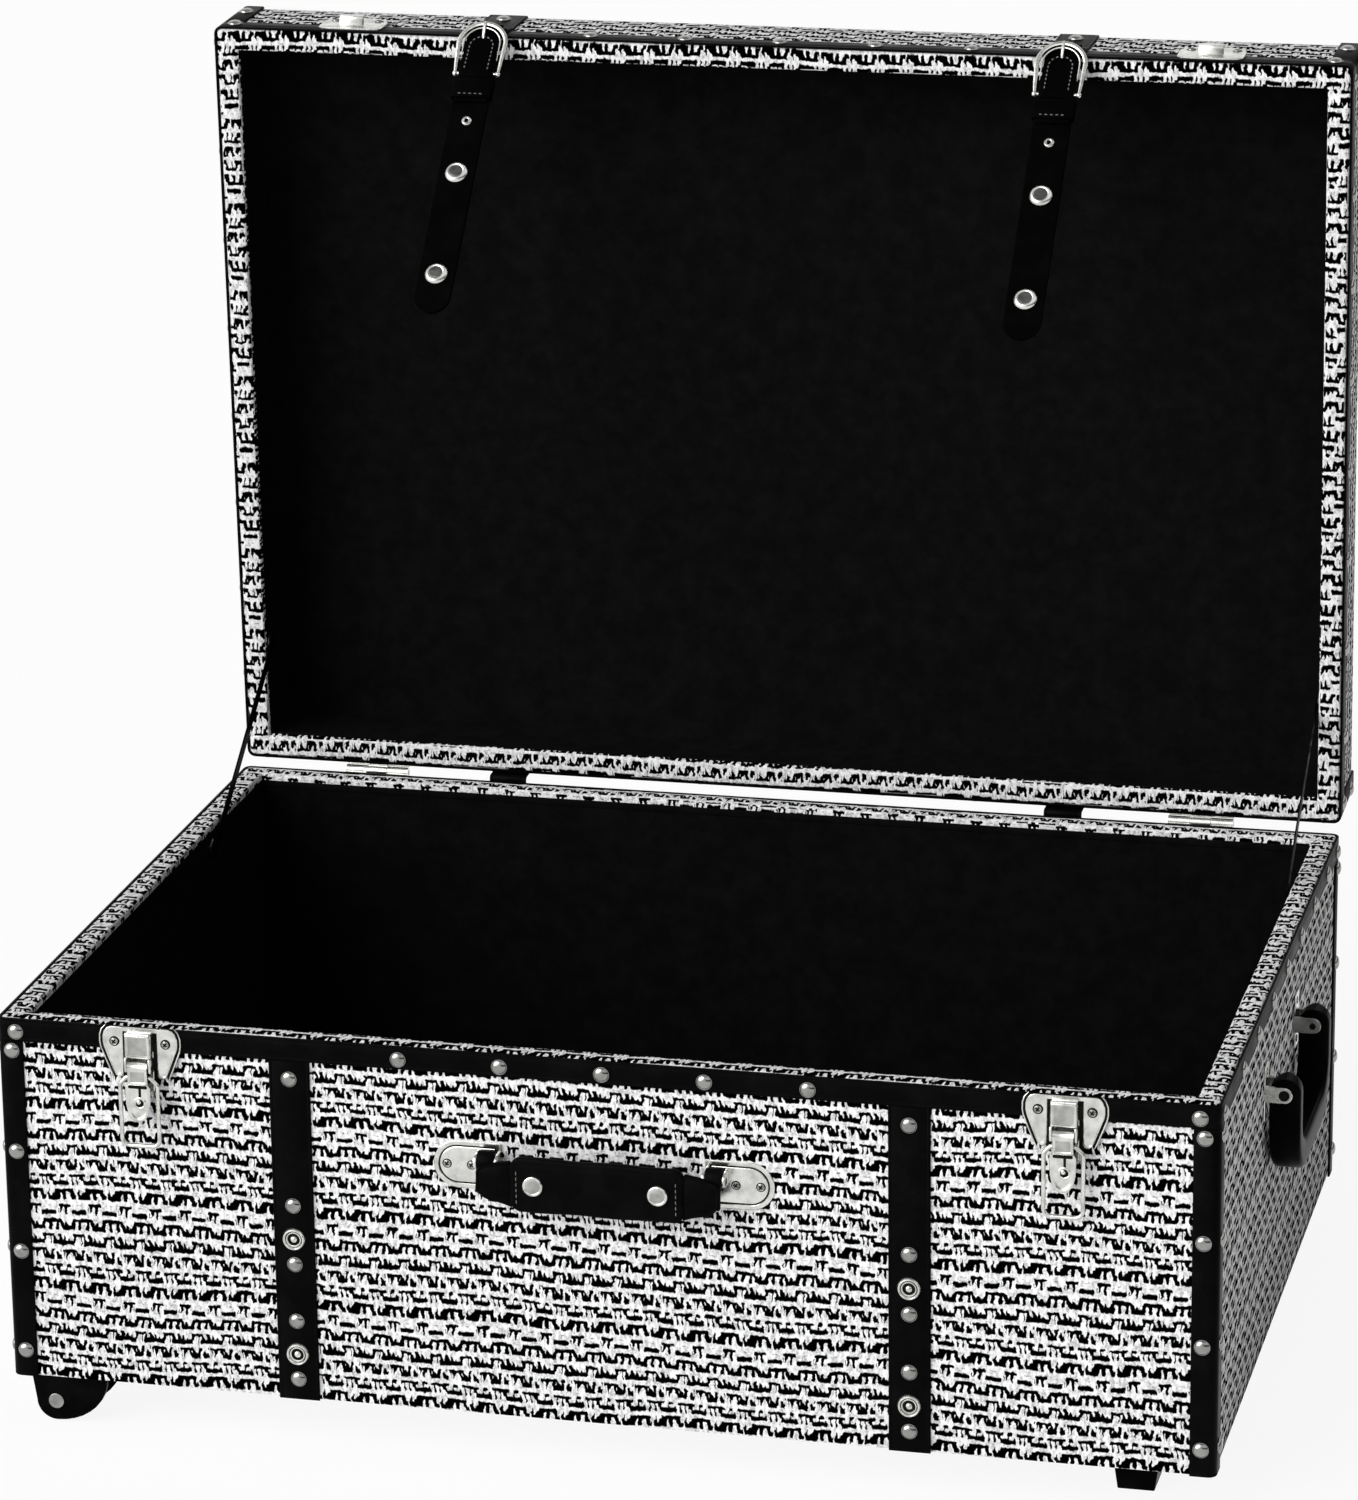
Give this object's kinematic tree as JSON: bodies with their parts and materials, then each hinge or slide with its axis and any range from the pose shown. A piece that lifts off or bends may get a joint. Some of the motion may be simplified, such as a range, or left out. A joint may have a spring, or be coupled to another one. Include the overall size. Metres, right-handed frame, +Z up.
{
  "type": "dorm trunk",
  "caption": "Rectangular cloth-covered storage trunk with a hinged lid, leather straps and handles, two draw latches, wheels at one end and feet at the other.",
  "frame": {"origin": "on the floor, under the middle of the open trunk's bounding box", "axes": "+Z up, +X to the trunk's right as seen from its front (feet at +X, wheels at -X), -Y out of its front"},
  "size_m": [0.808, 0.6088, 0.8042],
  "materials": {
    "tweed": "coarse black and white woven cloth",
    "leather": "smooth satin",
    "nickel": "polished nickel",
    "lining": "matt",
    "board": "raw plywood",
    "moulding": "moulded",
    "rubber": "matt"
  },
  "bodies": {
    "base": {"base_front_panel": "board", "base_back_panel": "board", "base_left_panel": "board", "base_right_panel": "board", "base_floor_panel": "board", "base_cover": "tweed", "base_lining": "lining", "base_rim_band": "leather", "base_corner_bands": "leather", "base_front_straps": "leather", "base_back_straps": "leather", "base_nails": "nickel", "snap_rings": "nickel", "base_screws": "nickel", "latch_plates": "nickel", "front_pins": "nickel", "handle_plates": "nickel", "side_brackets": "nickel", "side_pins": "nickel", "wheel_housings": "moulding", "wheel_axles": "nickel", "feet": "rubber", "hinge_base_leaves": "nickel", "hinge_pins": "nickel", "hinge_straps": "leather", "stays": "leather", "stay_base_anchors": "nickel"},
    "lid": {"hinge_lid_leaves": "nickel", "stay_lid_anchors": "nickel", "lid_front_panel": "board", "lid_back_panel": "board", "lid_left_panel": "board", "lid_right_panel": "board", "lid_top_panel": "board", "lid_cover": "tweed", "lid_lining": "lining", "lid_rim_band": "leather", "lid_corner_bands": "leather", "lid_straps": "leather", "lid_nails": "nickel", "lid_keepers": "nickel", "lid_screws": "nickel"},
    "tail_left": {"strap_tail_left": "leather", "tail_loop_left": "leather", "tail_buckle_left": "nickel", "tail_studs_left": "nickel"},
    "tail_right": {"strap_tail_right": "leather", "tail_loop_right": "leather", "tail_buckle_right": "nickel", "tail_studs_right": "nickel"},
    "lever_left": {"latch_lever_left": "nickel"},
    "lever_right": {"latch_lever_right": "nickel"},
    "loop_left": {"latch_loop_left": "nickel"},
    "loop_right": {"latch_loop_right": "nickel"},
    "grip": {"handle_grip": "leather", "handle_rivets": "nickel"},
    "bail_left": {"side_handle_left": "moulding"},
    "bail_right": {"side_handle_right": "moulding"},
    "roller_front": {"wheel_front": "rubber"},
    "roller_back": {"wheel_back": "rubber"}
  },
  "joints": [
    {"name": "lid_hinge", "type": "hinge", "parent": "base", "child": "lid", "pos_m": [0, 0.2406, 0.2715], "axis": [1, 0, 0], "range_deg": [0, 88], "deforming": ["stays", "hinge_straps"]},
    {"name": "tail_swing_left", "type": "hinge", "parent": "lid", "child": "tail_left", "pos_m": [-0.194, 0.22414, 0.80025], "axis": [-1, 0, 0], "range_deg": [0, 44]},
    {"name": "tail_swing_right", "type": "hinge", "parent": "lid", "child": "tail_right", "pos_m": [0.194, 0.22414, 0.80025], "axis": [-1, 0, 0], "range_deg": [0, 44]},
    {"name": "latch_lever_turn_left", "type": "hinge", "parent": "base", "child": "lever_left", "pos_m": [-0.289, -0.2884, 0.247], "axis": [1, 0, 0], "range_deg": [-120, 0]},
    {"name": "latch_lever_turn_right", "type": "hinge", "parent": "base", "child": "lever_right", "pos_m": [0.289, -0.2884, 0.247], "axis": [1, 0, 0], "range_deg": [-120, 0]},
    {"name": "latch_loop_turn_left", "type": "hinge", "parent": "lever_left", "child": "loop_left", "pos_m": [-0.289, -0.2889, 0.2405], "axis": [-1, 0, 0], "range_deg": [0, 170]},
    {"name": "latch_loop_turn_right", "type": "hinge", "parent": "lever_right", "child": "loop_right", "pos_m": [0.289, -0.2889, 0.2405], "axis": [-1, 0, 0], "range_deg": [0, 170]},
    {"name": "front_handle_turn", "type": "hinge", "parent": "base", "child": "grip", "pos_m": [0.004, -0.2904, 0.203], "axis": [-1, 0, 0], "range_deg": [0, 90]},
    {"name": "side_handle_turn_left", "type": "hinge", "parent": "base", "child": "bail_left", "pos_m": [-0.394, -0.0234, 0.209], "axis": [0, 1, 0], "range_deg": [0, 100]},
    {"name": "side_handle_turn_right", "type": "hinge", "parent": "base", "child": "bail_right", "pos_m": [0.394, -0.0234, 0.209], "axis": [0, -1, 0], "range_deg": [0, 100]},
    {"name": "wheel_spin_front", "type": "hinge", "parent": "base", "child": "roller_front", "pos_m": [-0.3555, -0.2634, 0.0145], "axis": [0, 1, 0], "continuous": true},
    {"name": "wheel_spin_back", "type": "hinge", "parent": "base", "child": "roller_back", "pos_m": [-0.3555, 0.2166, 0.0145], "axis": [0, 1, 0], "continuous": true}
  ],
  "couplings": [
    {"joint": "tail_swing_left", "follows": "lid_hinge", "ratio": 0.5},
    {"joint": "tail_swing_right", "follows": "lid_hinge", "ratio": 0.5}
  ]
}
